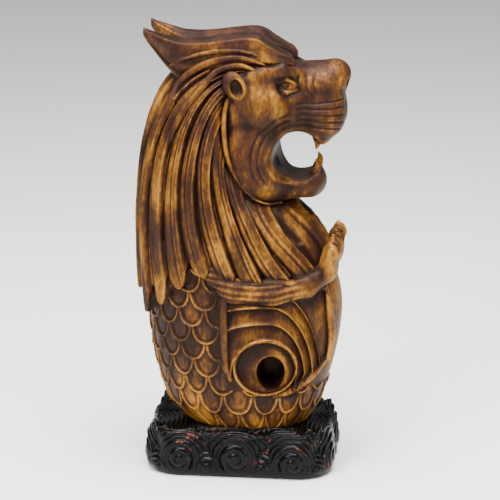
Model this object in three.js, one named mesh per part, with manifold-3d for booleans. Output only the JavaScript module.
// A ship's figurehead: a gilt wood sea-lion with a lion's head, mane and webbed forepaws on a scaled fish's
// body, standing on a black lacquered base of carved waves.
//
// Millimetres, +Z up. The lion faces +X. The origin is the middle of the base's flat underside.
// The figure is symmetric about the plane Y = 0, so every form of its flank is made once and mirrored.

import * as THREE from "three";
import { mergeVertices } from "three/addons/utils/BufferGeometryUtils.js";
import Module from "manifold-3d";

const wasm = await Module();
wasm.setup();

// Driving dimensions of the base.
const BASE_LENGTH = 340; // along X
const BASE_DEPTH = 236; // along Y
const BASE_HEIGHT = 80; // underside to the flat seat of the figure
const BASE_EDGE = 14; // rounding of the lower edge
const CREST_RISE = 14; // how far the corner waves stand above the seat
const BASE_CORNER = 62; // radius of the block's corners, seen from above
const WAVE_PROUD = 7; // how far the wave curls stand out of the block
const CURLS = 10; // large curls round the rim
const CURL_RADIUS = 33; // of a large curl
const RIPPLES = 18; // slanting ridges of water round the rim
const RIPPLE_RELIEF = 5; // how far a ridge of water stands out

// Driving dimensions of the figure. Its free forms are shares of its height, given as points
// of a figure DRAWN_HEIGHT tall that stands on Z = 0.
const FIGURE_HEIGHT = 695; // seat to the tips of the crest
const DRAWN_HEIGHT = 695;
const SEAT_GAP = 0.3; // between the figure's foot and its seat
const SEAT_MARGIN = 6; // flat wood left round the figure's foot

// Driving dimensions of the carving.
const LOCKS = 10; // of the mane, on each side
const LOCK_RELIEF = 8; // depth of the groove between two locks
const SCALE_WIDTH = 45; // of one fish scale, round the body
const SCALE_HEIGHT = 30; // from one row of scales to the next
const SCALE_POINT = 18; // how far a scale's point hangs below its corners
const SCALE_RELIEF = 5; // how far a scale's lower edge stands out
const FLUTES = 4; // crescent channels of the tail's fluke, on each side
const FLUTE_PROUD = 7; // how far the ridge between two channels stands out of the flank
const FLUTE_FLOOR = 2; // how far the floor of a channel stands out of the flank
const FLUKE_HEIGHT = 108; // of the fluke above the rim of the eye
const FLUKE_AHEAD = 50; // length of the fluke in front of the rim of the eye
const EYE_WIDTH = 50; // across the eye of the tail's curl, along X
const EYE_HEIGHT = 60; // up the eye of the tail's curl
const EYE_DEPTH = 75; // of the pocket at the eye of the curl
const MOUTH_WIDTH = 80; // of the opening carved right through the mouth, along X
const MOUTH_HEIGHT = 88; // of that opening, along Z
const TOOTH_LENGTH = 25; // of the canine teeth
const TOOTH_ROOT = 8; // sunk in the jaw
const TOOTH_RADIUS = 7; // of a canine tooth at its root

const figureScale = FIGURE_HEIGHT / DRAWN_HEIGHT;

// Small tools

const vec = (x, y, z) => new THREE.Vector3(x, y, z);

const mix = (a, b, share) => a + (b - a) * share;

const bell = (x, width) => Math.exp(-((x / width) ** 2));

const range = (count) => Array.from({ length: count }, (_, i) => i);

// A smooth curve through stations [place, value, value, ...], read at any place between them.
function stations(rows) {
  const last = rows.length - 1;
  return (place, column) => {
    let i = rows.findIndex((row) => row[0] > place) - 1;
    if (place <= rows[0][0]) i = 0;
    if (place >= rows[last][0]) i = last - 1;
    const near = (j) => rows[Math.min(Math.max(j, 0), last)];
    const [before, from, to, after] = [near(i - 1), near(i), near(i + 1), near(i + 2)];
    const span = to[0] - from[0];
    const t = Math.min(Math.max((place - from[0]) / span, 0), 1);
    const slope = (a, b) => (b === a ? 0 : (b[column] - a[column]) / (b[0] - a[0])) * span;
    const startSlope = slope(before, to);
    const endSlope = slope(from, after);
    return (
      (2 * t ** 3 - 3 * t ** 2 + 1) * from[column] +
      (t ** 3 - 2 * t ** 2 + t) * startSlope +
      (3 * t ** 2 - 2 * t ** 3) * to[column] +
      (t ** 3 - t ** 2) * endSlope
    );
  };
}

// A closed surface through rings of points, all with the same count, with a fan on each end.
function loft(rings) {
  const count = rings[0].length;
  const points = rings.flat();
  const centre = (ring) => ring.reduce((sum, p) => sum.add(p), vec(0, 0, 0)).divideScalar(count);
  points.push(centre(rings[0]), centre(rings.at(-1)));
  const first = points.length - 2;
  const index = [];
  for (let r = 0; r < rings.length - 1; r++) {
    for (let c = 0; c < count; c++) {
      const a = r * count + c;
      const b = r * count + ((c + 1) % count);
      index.push(a, b, b + count, a, b + count, a + count);
    }
  }
  const top = (rings.length - 1) * count;
  for (let c = 0; c < count; c++) {
    const next = (c + 1) % count;
    index.push(first, next, c);
    index.push(first + 1, top + c, top + next);
  }
  const geometry = new THREE.BufferGeometry().setFromPoints(points);
  geometry.setIndex(index);
  return geometry;
}

// A closed geometry as a solid. A surface that faces inwards is turned round.
function solid(geometry) {
  const bare = new THREE.BufferGeometry().setAttribute("position", geometry.getAttribute("position"));
  if (geometry.index) bare.setIndex(geometry.index);
  const merged = mergeVertices(bare, 1e-3);
  const vertProperties = merged.attributes.position.array;
  const triVerts = Uint32Array.from(merged.index.array);
  const made = new wasm.Manifold(new wasm.Mesh({ numProp: 3, vertProperties, triVerts }));
  if (made.volume() > 0) return made;
  for (let i = 0; i < triVerts.length; i += 3) {
    [triVerts[i + 1], triVerts[i + 2]] = [triVerts[i + 2], triVerts[i + 1]];
  }
  return new wasm.Manifold(new wasm.Mesh({ numProp: 3, vertProperties, triVerts }));
}

const union = (solids) => solids.reduce((whole, next) => whole.add(next));

// The solid and its mirror image across Y = 0.
function bothSides(made) {
  const { vertProperties, triVerts } = made.getMesh();
  const mirrored = vertProperties.map((value, i) => (i % 3 === 1 ? -value : value));
  const turned = triVerts.map((_, i) => triVerts[i - (i % 3) + ((3 - (i % 3)) % 3)]);
  const mesh = new wasm.Mesh({ numProp: 3, vertProperties: mirrored, triVerts: turned });
  return made.add(new wasm.Manifold(mesh));
}

// A solid carried along a smooth line through points. Its section at share t of the line is an oval,
// width(t) to each side and height(t) along the direction that faces outwards.
function sweep(points, { width, height = width, outward, sides = 6, steps = 10 }) {
  const line = new THREE.CatmullRomCurve3(points.map((p) => vec(...p)), false, "centripetal");
  const rings = range(steps + 1).map((i) => {
    const t = i / steps;
    const place = line.getPointAt(t);
    const along = line.getTangentAt(t);
    const side = along.clone().cross(outward(place)).normalize();
    const up = side.clone().cross(along).normalize();
    return range(sides).map((j) => {
      const angle = (2 * Math.PI * (j + 0.5)) / sides;
      return place
        .clone()
        .addScaledVector(side, width(t) * Math.cos(angle))
        .addScaledVector(up, height(t) * Math.sin(angle));
    });
  });
  return solid(loft(rings));
}

// A thickness that starts at one value, swells to a second and ends at a third.
const swell = (start, middle, end) => (t) =>
  start * (1 - t) ** 2 + middle * 2 * t * (1 - t) * 1.2 + end * t ** 2;

// An egg-shaped solid with the given half sizes.
function egg([x, y, z], [rx, ry, rz], sides = 8) {
  const ball = new THREE.SphereGeometry(1, sides, Math.round(sides * 0.6));
  ball.scale(rx, ry, rz);
  ball.translate(x, y, z);
  return solid(ball);
}

// The body: a fish's, an oval column whose lower part is clad in rows of scales like shingles

// Height, back, front, half depth of the column.
const trunk = stations([
  [0, -92, 112, 80],
  [40, -128, 136, 97],
  [80, -143, 150, 107],
  [120, -153, 161, 114],
  [170, -160, 170, 119],
  [220, -163, 172, 121],
  [270, -165, 160, 118],
  [330, -160, 128, 108],
]);
const TRUNK_TOP = 330;
const SCALES_TOP = 262; // where the first row of scales ends
const TRUNK_SQUARENESS = 0.92; // 1 is an oval, less is squarer

// A point of the body at an angle from +X and a height, with the outward shift of its relief.
function trunkPoint(angle, z, relief = 0) {
  const back = trunk(z, 1);
  const front = trunk(z, 2);
  const [cos, sin] = [Math.cos(angle), Math.sin(angle)];
  const square = (value) => Math.sign(value) * Math.abs(value) ** TRUNK_SQUARENESS;
  return vec(
    (back + front) / 2 + ((front - back) / 2) * square(cos) + relief * cos,
    trunk(z, 3) * square(sin) + relief * sin,
    z,
  );
}

// The length round the column where it is widest, as that of an ellipse.
function girth() {
  const [long, short] = [(trunk(220, 2) - trunk(220, 1)) / 2, trunk(220, 3)];
  return Math.PI * (1.5 * (long + short) - Math.sqrt(long * short));
}

// A scale's lower edge stands out and hangs to a point. The row below starts flush under it, half a
// scale further round. The flank under the tail's fluke is smooth.
function body() {
  const scales = 2 * Math.round(girth() / SCALE_WIDTH / 2);
  const ring = (height, { point = 0, relief = 0, row = 0 }) =>
    range(2 * scales).map((c) => {
      const angle = (Math.PI * c) / scales;
      const z = height - ((c + row) % 2 === 0 ? point : 0);
      const bare = trunkPoint(angle, z);
      return underFluke(bare) ? bare : trunkPoint(angle, z, relief);
    });
  const rows = Math.floor((SCALES_TOP - SCALE_POINT) / SCALE_HEIGHT);
  const edges = range(rows).flatMap((row) => {
    const height = SCALES_TOP - row * SCALE_HEIGHT;
    const edge = { point: SCALE_POINT, relief: SCALE_RELIEF, row };
    return [ring(height, edge), ring(height - SCALE_RELIEF / 2, { ...edge, relief: 0 })];
  });
  return solid(loft([ring(TRUNK_TOP, {}), ...edges, ring(0, {})]));
}

// The mane: locks that leave the edge of the face, arch back over the neck and hang to a jagged hem

// Guide lines from the middle of the back, 0, to the middle of the throat, 1: share, then the x, half depth
// and height of the root, of two pulls and of the tip.
const maneGuides = stations([
  [0.0, 20, 0, 655, -185, 0, 665, -180, 0, 520, -184, 0, 274],
  [0.13, 55, 34, 642, -138, 62, 665, -186, 84, 526, -166, 62, 214],
  [0.27, 52, 52, 626, -84, 92, 655, -166, 124, 510, -124, 98, 238],
  [0.42, 28, 62, 608, -58, 110, 618, -122, 138, 470, -72, 120, 270],
  [0.56, -2, 72, 560, -44, 120, 545, -66, 146, 410, -8, 128, 276],
  [0.7, 2, 76, 474, -24, 118, 440, 10, 138, 350, 56, 118, 272],
  [0.85, 36, 64, 410, 30, 96, 384, 90, 110, 330, 118, 86, 276],
  [1.0, 96, 0, 396, 118, 0, 380, 152, 0, 340, 166, 0, 268],
]);

// A point of a guide line at share t from root to tip: a cubic Bezier curve.
function maneLine(share, t) {
  const blend = [(1 - t) ** 3, 3 * t * (1 - t) ** 2, 3 * t ** 2 * (1 - t), t ** 3];
  const part = (axis) => blend.reduce((sum, b, i) => sum + b * maneGuides(share, 1 + 3 * i + axis), 0);
  return vec(part(0), part(1), part(2));
}

// The section across the locks: a rounded band, with a sharp groove where phase is a whole number.
const lockSection = (phase) => {
  const aside = phase - Math.round(phase);
  return LOCK_RELIEF * (0.35 - 1.0 * bell(aside, 0.2));
};

// How far a lock hangs past the hem at its middle.
const lockTip = (phase) => 0.09 * (Math.abs(Math.sin(Math.PI * phase)) - 0.5);

function mane() {
  const columnsPerLock = 3;
  const half = LOCKS * columnsPerLock;
  const steps = 10;
  const axis = (z) => vec(mix(-20, -60, z / 660), 0, z);
  const place = (column, t) => {
    const share = column / half;
    const phase = column / columnsPerLock;
    const reach = t * (1 + lockTip(phase) * t ** 3);
    const point = maneLine(share, reach);
    const outward = point.clone().sub(axis(point.z)).setZ(0).normalize();
    const fade = Math.min(1, 0.35 + 2 * t);
    const relief = lockSection(phase) * fade;
    return point.addScaledVector(outward, relief);
  };
  const ring = (t) => {
    const side = range(half + 1).map((column) => place(column, t));
    const mirrored = side.slice(1, half).reverse();
    return [...side, ...mirrored.map((p) => vec(p.x, -p.y, p.z))];
  };
  const rings = range(steps + 1).map((i) => ring(i / steps));
  const hem = rings.at(-1).map((p) => vec(mix(p.x, 0, 0.22), p.y * 0.72, p.z + 22));
  return solid(loft([...rings, hem]));
}

// The head

// Place along X, top, bottom, half width of the skull, cheeks and upper jaw.
const skull = stations([
  [-70, 590, 420, 50],
  [-30, 640, 400, 72],
  [0, 654, 396, 84],
  [35, 660, 398, 88],
  [62, 658, 440, 78],
  [84, 642, 500, 66],
  [104, 630, 512, 58],
  [130, 632, 508, 55],
  [152, 636, 500, 50],
  [170, 628, 514, 40],
  [180, 596, 550, 20],
]);

const jaw = stations([
  [0, 470, 398, 70],
  [50, 452, 398, 60],
  [90, 436, 398, 50],
  [120, 448, 406, 42],
  [138, 462, 424, 32],
  [144, 456, 440, 20],
]);

// A swept-back plume over each eye, from its tip behind the head to the brow: place along X, top, bottom,
// half width, and how far its middle is from the middle of the head.
const crest = stations([
  [-163, 695, 690, 2, 44],
  [-152, 690, 669, 9, 44],
  [-139, 686, 648, 15, 44],
  [-123, 682, 628, 21, 43],
  [-100, 678, 606, 27, 40],
  [-60, 679, 600, 32, 35],
  [-16, 685, 606, 36, 32],
  [14, 688, 616, 35, 32],
  [32, 684, 622, 33, 32],
  [48, 672, 626, 30, 32],
  [68, 659, 629, 26, 32],
  [88, 649, 630, 18, 33],
  [97, 642, 632, 9, 34],
]);

// A bar along X whose upright sections are rounded boxes, from rows of place, top, bottom and half width,
// and, with aside, of how far its middle is from Y = 0.
function bar(shape, from, to, steps, { squareness = 0.7, sides = 10, aside = false } = {}) {
  const rings = range(steps + 1).map((i) => {
    const x = mix(from, to, i / steps);
    const [top, bottom, wide] = [shape(x, 1), shape(x, 2), shape(x, 3)];
    const middle = aside ? -shape(x, 4) : 0;
    return range(sides).map((j) => {
      const angle = (2 * Math.PI * j) / sides;
      const square = (value) => Math.sign(value) * Math.abs(value) ** squareness;
      const up = 0.5 + 0.5 * square(Math.sin(angle));
      return vec(x, middle + wide * square(Math.cos(angle)), mix(bottom, top, up));
    });
  });
  return solid(loft(rings));
}

// The opening carved right through the mouth: an oval, open to the front between the teeth.
function mouthOpening() {
  const oval = new THREE.Shape().absellipse(97, 476, MOUTH_WIDTH / 2, MOUTH_HEIGHT / 2, 0, 2 * Math.PI);
  const across = 400;
  const turn = (geometry) => geometry.rotateX(Math.PI / 2).translate(0, across / 2, 0);
  const through = { depth: across, bevelEnabled: false, curveSegments: 18 };
  const round = turn(new THREE.ExtrudeGeometry(oval, through));
  const front = new THREE.Shape([
    new THREE.Vector2(110, 462),
    new THREE.Vector2(200, 462),
    new THREE.Vector2(200, 494),
    new THREE.Vector2(110, 502),
  ]);
  const gap = turn(new THREE.ExtrudeGeometry(front, through));
  return solid(round).add(solid(gap));
}

function tooth([x, y, z], length) {
  const cone = new THREE.ConeGeometry(TOOTH_RADIUS, Math.abs(length), 6);
  cone.rotateX(length > 0 ? Math.PI / 2 : -Math.PI / 2);
  cone.translate(x, y, z + length / 2);
  return solid(cone);
}

const sideways = () => vec(0, -1, 0);
const skyward = () => vec(0, 0, 1);

function head() {
  const nose = egg([160, 0, 616], [24, 32, 24], 7);
  const muzzle = egg([138, -24, 550], [38, 33, 44], 7);
  const brow = sweep([[34, -62, 634], [64, -62, 644], [90, -50, 638], [102, -36, 624]], {
    width: swell(6, 13, 8),
    height: swell(6, 11, 6),
    outward: skyward,
    sides: 5,
    steps: 4,
  });
  const eye = egg([78, -54, 612], [15, 13, 10], 6);
  const ear = egg([0, -84, 606], [14, 12, 22], 7).subtract(egg([10, -94, 606], [11, 10, 15], 5));
  const plume = bar(crest, -163, 97, 10, { squareness: 0.85, sides: 7, aside: true });
  const halves = union([muzzle, brow, eye, ear, plume]);
  const whole = union([bar(skull, -70, 180, 11), bar(jaw, 0, 144, 6), nose, bothSides(halves)]);
  const upper = tooth([130, -34, 516], -TOOTH_LENGTH - TOOTH_ROOT);
  const lower = tooth([130, -26, 446], TOOTH_LENGTH + TOOTH_ROOT);
  return whole.subtract(mouthOpening()).add(bothSides(upper.add(lower)));
}

// The forelegs: an arm that leaves the mane at the shoulder, and a webbed paw raised before the chest

function foreleg() {
  const away = (place) => vec(place.x > 120 ? 0.5 : 0, -1, 0.1);
  const arm = sweep(
    [[-44, -84, 330], [-34, -104, 290], [-4, -114, 262], [62, -110, 256], [118, -86, 264], [148, -60, 279]],
    { width: swell(20, 24, 17), height: swell(14, 20, 16), outward: away, sides: 7, steps: 8 },
  );
  const palm = egg([154, -54, 298], [19, 33, 30], 7);
  const toes = range(4).map((i) => {
    const spread = (i - 1.5) / 1.5;
    const root = [157, -52 - 20 * spread, 300];
    const knuckle = [170, -50 - 28 * spread, 326 - 3 * spread ** 2];
    const claw = [167, -48 - 30 * spread, 353 - 8 * spread ** 2];
    return sweep([root, knuckle, claw], {
      width: (t) => mix(11, 12, t) - 11 * t ** 5,
      outward: sideways,
      sides: 4,
      steps: 3,
    });
  });
  const web = egg([161, -49, 319], [6, 38, 24], 6);
  return union([arm, palm, web, ...toes]);
}

// The tail's fluke: nested crescent channels on the flank. Each rises from the fluke's straight back
// edge, arches over the eye of the tail's curl and comes down in front of it, where they draw together.

const curlCentre = { x: 58, z: 109 };
const FLUKE_EDGE = -17; // place of the fluke's back edge along X
const EYE_RIM = 8; // from the eye to the first channel

function underFluke({ x, z }) {
  const ahead = curlCentre.x + EYE_WIDTH / 2 + EYE_RIM + FLUKE_AHEAD;
  const top = curlCentre.z + EYE_HEIGHT / 2 + EYE_RIM + FLUKE_HEIGHT;
  return x > FLUKE_EDGE && x < ahead && z > curlCentre.z - EYE_HEIGHT / 2 && z < top + 12;
}

// A point of the flank in the side view, pushed out of the body by a height.
function flankPoint(x, z, proud) {
  const middle = (trunk(z, 1) + trunk(z, 2)) / 2;
  const halfLength = (trunk(z, 2) - trunk(z, 1)) / 2;
  const cos = Math.min(Math.max((x - middle) / halfLength, -0.98), 0.98);
  const share = Math.sign(cos) * Math.abs(cos) ** (1 / TRUNK_SQUARENESS);
  const sin = Math.sqrt(1 - share ** 2) ** TRUNK_SQUARENESS;
  return [x, -trunk(z, 3) * sin - proud, z];
}

// A point of the fluke. Quarters counts the quarter turns from its back edge, share runs from the rim of
// the eye, 0, to the outermost crescent, 1.
function flukePoint(quarters, share, proud) {
  const high = EYE_HEIGHT / 2 + EYE_RIM + FLUKE_HEIGHT * share;
  const ahead = EYE_WIDTH / 2 + EYE_RIM + FLUKE_AHEAD * share;
  const turned = (quarters * Math.PI) / 2;
  if (quarters < 1) {
    const behind = mix(EYE_WIDTH / 2 + EYE_RIM, curlCentre.x - FLUKE_EDGE, Math.min(3 * share, 1));
    const rise = mix(-0.3, 0.86, share ** 0.7);
    const lift = mix(rise, 1, Math.sin(turned));
    return flankPoint(curlCentre.x - behind * Math.cos(turned), curlCentre.z + high * lift, proud);
  }
  const drawn = Math.max(quarters - 2, 0);
  const reach = mix(ahead, EYE_WIDTH / 2 + EYE_RIM + 0.35 * FLUKE_AHEAD * share, 1.6 * drawn);
  const x = curlCentre.x + reach * Math.sin(Math.min(turned - Math.PI / 2, Math.PI / 2));
  const rise = quarters < 2 ? high * Math.cos(turned - Math.PI / 2) : -mix(66, 54, share) * drawn;
  return flankPoint(x, curlCentre.z + rise, proud);
}

function fluke() {
  const across = range(FLUTES).flatMap((i) => [
    [i / FLUTES, FLUTE_PROUD],
    [(i + 0.2) / FLUTES, FLUTE_FLOOR],
    [(i + 0.75) / FLUTES, FLUTE_FLOOR + 1],
  ]);
  across.push([1, FLUTE_PROUD], [1, -FLUTE_PROUD], [0, -FLUTE_PROUD]);
  const steps = 12;
  const rings = range(steps + 1).map((i) =>
    across.map(([share, proud]) => vec(...flukePoint((2.5 * i) / steps, share, proud))),
  );
  return solid(loft(rings));
}

function eyePocket() {
  const cone = new THREE.CylinderGeometry(1, 0.8, EYE_DEPTH, 16);
  cone.scale(EYE_WIDTH / 2, 1, EYE_HEIGHT / 2);
  cone.rotateZ(Math.PI);
  const mouth = flankPoint(curlCentre.x, curlCentre.z, 0)[1];
  cone.translate(curlCentre.x, mouth + EYE_DEPTH / 2 - 12, curlCentre.z);
  return solid(cone);
}

function figure() {
  const flank = foreleg().add(fluke());
  return union([body(), mane(), head(), bothSides(flank)]).subtract(bothSides(eyePocket()));
}

// The base: a rounded block with a flat seat, whose sides are carved as water that breaks in curls

// The block's outline, from the middle of its +X end and anticlockwise seen from above.
function blockOutline() {
  const [x, y] = [BASE_LENGTH / 2 - WAVE_PROUD, BASE_DEPTH / 2 - WAVE_PROUD];
  const corners = [
    [x - BASE_CORNER, y - BASE_CORNER],
    [BASE_CORNER - x, y - BASE_CORNER],
    [BASE_CORNER - x, BASE_CORNER - y],
    [x - BASE_CORNER, BASE_CORNER - y],
  ];
  const outline = new THREE.Shape().moveTo(x, 0);
  corners.forEach(([cx, cy], i) => {
    outline.absarc(cx, cy, BASE_CORNER, (i * Math.PI) / 2, ((i + 1) * Math.PI) / 2);
  });
  outline.closePath();
  return outline;
}

const rimLine = blockOutline();

// A point of the rim at a share of the way round, moved inwards, and the direction out of the block.
function rim(share, inset = 0) {
  const around = share - Math.floor(share);
  const along = rimLine.getTangentAt(around);
  const out = vec(along.y, -along.x, 0);
  const { x, y } = rimLine.getPointAt(around);
  return { x: x - inset * out.x, y: y - inset * out.y, out };
}

function block() {
  const columns = RIPPLES * 3;
  const level = (inset, height, relief, shift) =>
    range(columns).map((c) => {
      const proud = relief * Math.cos((2 * Math.PI * (c + shift)) / 3);
      const { x, y } = rim(c / columns, inset - proud);
      return vec(x, y, height);
    });
  const levels = [
    level(BASE_EDGE, 0, 0, 0),
    level(0, BASE_EDGE, RIPPLE_RELIEF / 2, 0),
    level(0, BASE_HEIGHT * 0.45, RIPPLE_RELIEF, 0.7),
    level(3, BASE_HEIGHT * 0.8, RIPPLE_RELIEF, 1.4),
    level(14, BASE_HEIGHT, RIPPLE_RELIEF, 2.1),
  ];
  return solid(loft(levels));
}

// A curl on the rim: a ridge that winds inwards, in the upright plane that faces outwards.
function curl(share, radius) {
  const { x, y, out } = rim(share);
  const hand = Math.sign(Math.sin(4 * Math.PI * share)) || 1;
  const along = vec(-out.y, out.x, 0).multiplyScalar(hand);
  const centre = vec(x, y, BASE_HEIGHT * 0.5);
  const turns = 1.6;
  const points = range(12).map((i) => {
    const turned = (i / 11) * turns * 2 * Math.PI - 0.9;
    const reach = mix(radius, radius * 0.2, i / 11);
    const place = centre.clone().addScaledVector(along, reach * Math.cos(turned));
    return [place.x, place.y, place.z + reach * Math.sin(turned)];
  });
  return sweep(points, {
    width: swell(4, 8, 7),
    height: swell(6, WAVE_PROUD, WAVE_PROUD),
    outward: () => out.clone(),
    sides: 4,
    steps: 11,
  });
}

// A wave that rises over the rim and leans sideways as it breaks into a crest.
function breaker(share, lean) {
  const foot = rim(share);
  const middle = rim(share + lean * 0.3, -2);
  const top = rim(share + lean, 12);
  const points = [
    [foot.x, foot.y, BASE_EDGE],
    [middle.x, middle.y, BASE_HEIGHT * 0.65],
    [top.x, top.y, BASE_HEIGHT + CREST_RISE - 5],
  ];
  return sweep(points, {
    width: swell(6, 14, 5),
    height: swell(5, 11, 5),
    outward: () => foot.out.clone(),
    sides: 4,
    steps: 4,
  });
}

// Everything above the seat, over the figure's foot and the margin round it.
function seatRoom() {
  const length = (trunk(0, 2) - trunk(0, 1)) / 2;
  const depth = trunk(0, 3);
  const middle = (trunk(0, 2) + trunk(0, 1)) / 2;
  const rings = [0, 30].map((height) =>
    range(32).map((c) => {
      const angle = (2 * Math.PI * c) / 32;
      const spread = figureScale * (1 + height / 150);
      return vec(
        middle * figureScale + (length * spread + SEAT_MARGIN) * Math.cos(angle),
        (depth * spread + SEAT_MARGIN) * Math.sin(angle),
        BASE_HEIGHT + height,
      );
    }),
  );
  return solid(loft(rings));
}

function base() {
  const curls = range(CURLS).map((i) => curl((i + 0.5) / CURLS, CURL_RADIUS));
  const corners = [0.1, 0.4, 0.6, 0.9];
  const crests = corners.flatMap((corner) => [
    breaker(corner - 0.016, 0.012),
    breaker(corner + 0.016, -0.012),
  ]);
  return union([block(), ...curls, ...crests]).subtract(seatRoom());
}

// A solid as a named mesh.
function mesh(name, made, material) {
  const { vertProperties, triVerts } = made.getMesh();
  const geometry = new THREE.BufferGeometry();
  geometry.setAttribute("position", new THREE.BufferAttribute(Float32Array.from(vertProperties), 3));
  geometry.setIndex(new THREE.BufferAttribute(Uint32Array.from(triVerts), 1));
  geometry.computeVertexNormals();
  const named = new THREE.Mesh(geometry, material);
  named.name = name;
  return named;
}

const wornGilding = new THREE.MeshStandardMaterial({ color: 0x7a5426, roughness: 0.42, metalness: 0.35 });
const blackLacquer = new THREE.MeshStandardMaterial({ color: 0x17120f, roughness: 0.32, metalness: 0 });

const seaLion = mesh("sea_lion_figure", figure(), wornGilding);
seaLion.scale.setScalar(figureScale);
seaLion.position.z = BASE_HEIGHT + SEAT_GAP;

const figurehead = new THREE.Group();
figurehead.add(seaLion, mesh("wave_base", base(), blackLacquer));

export default figurehead;
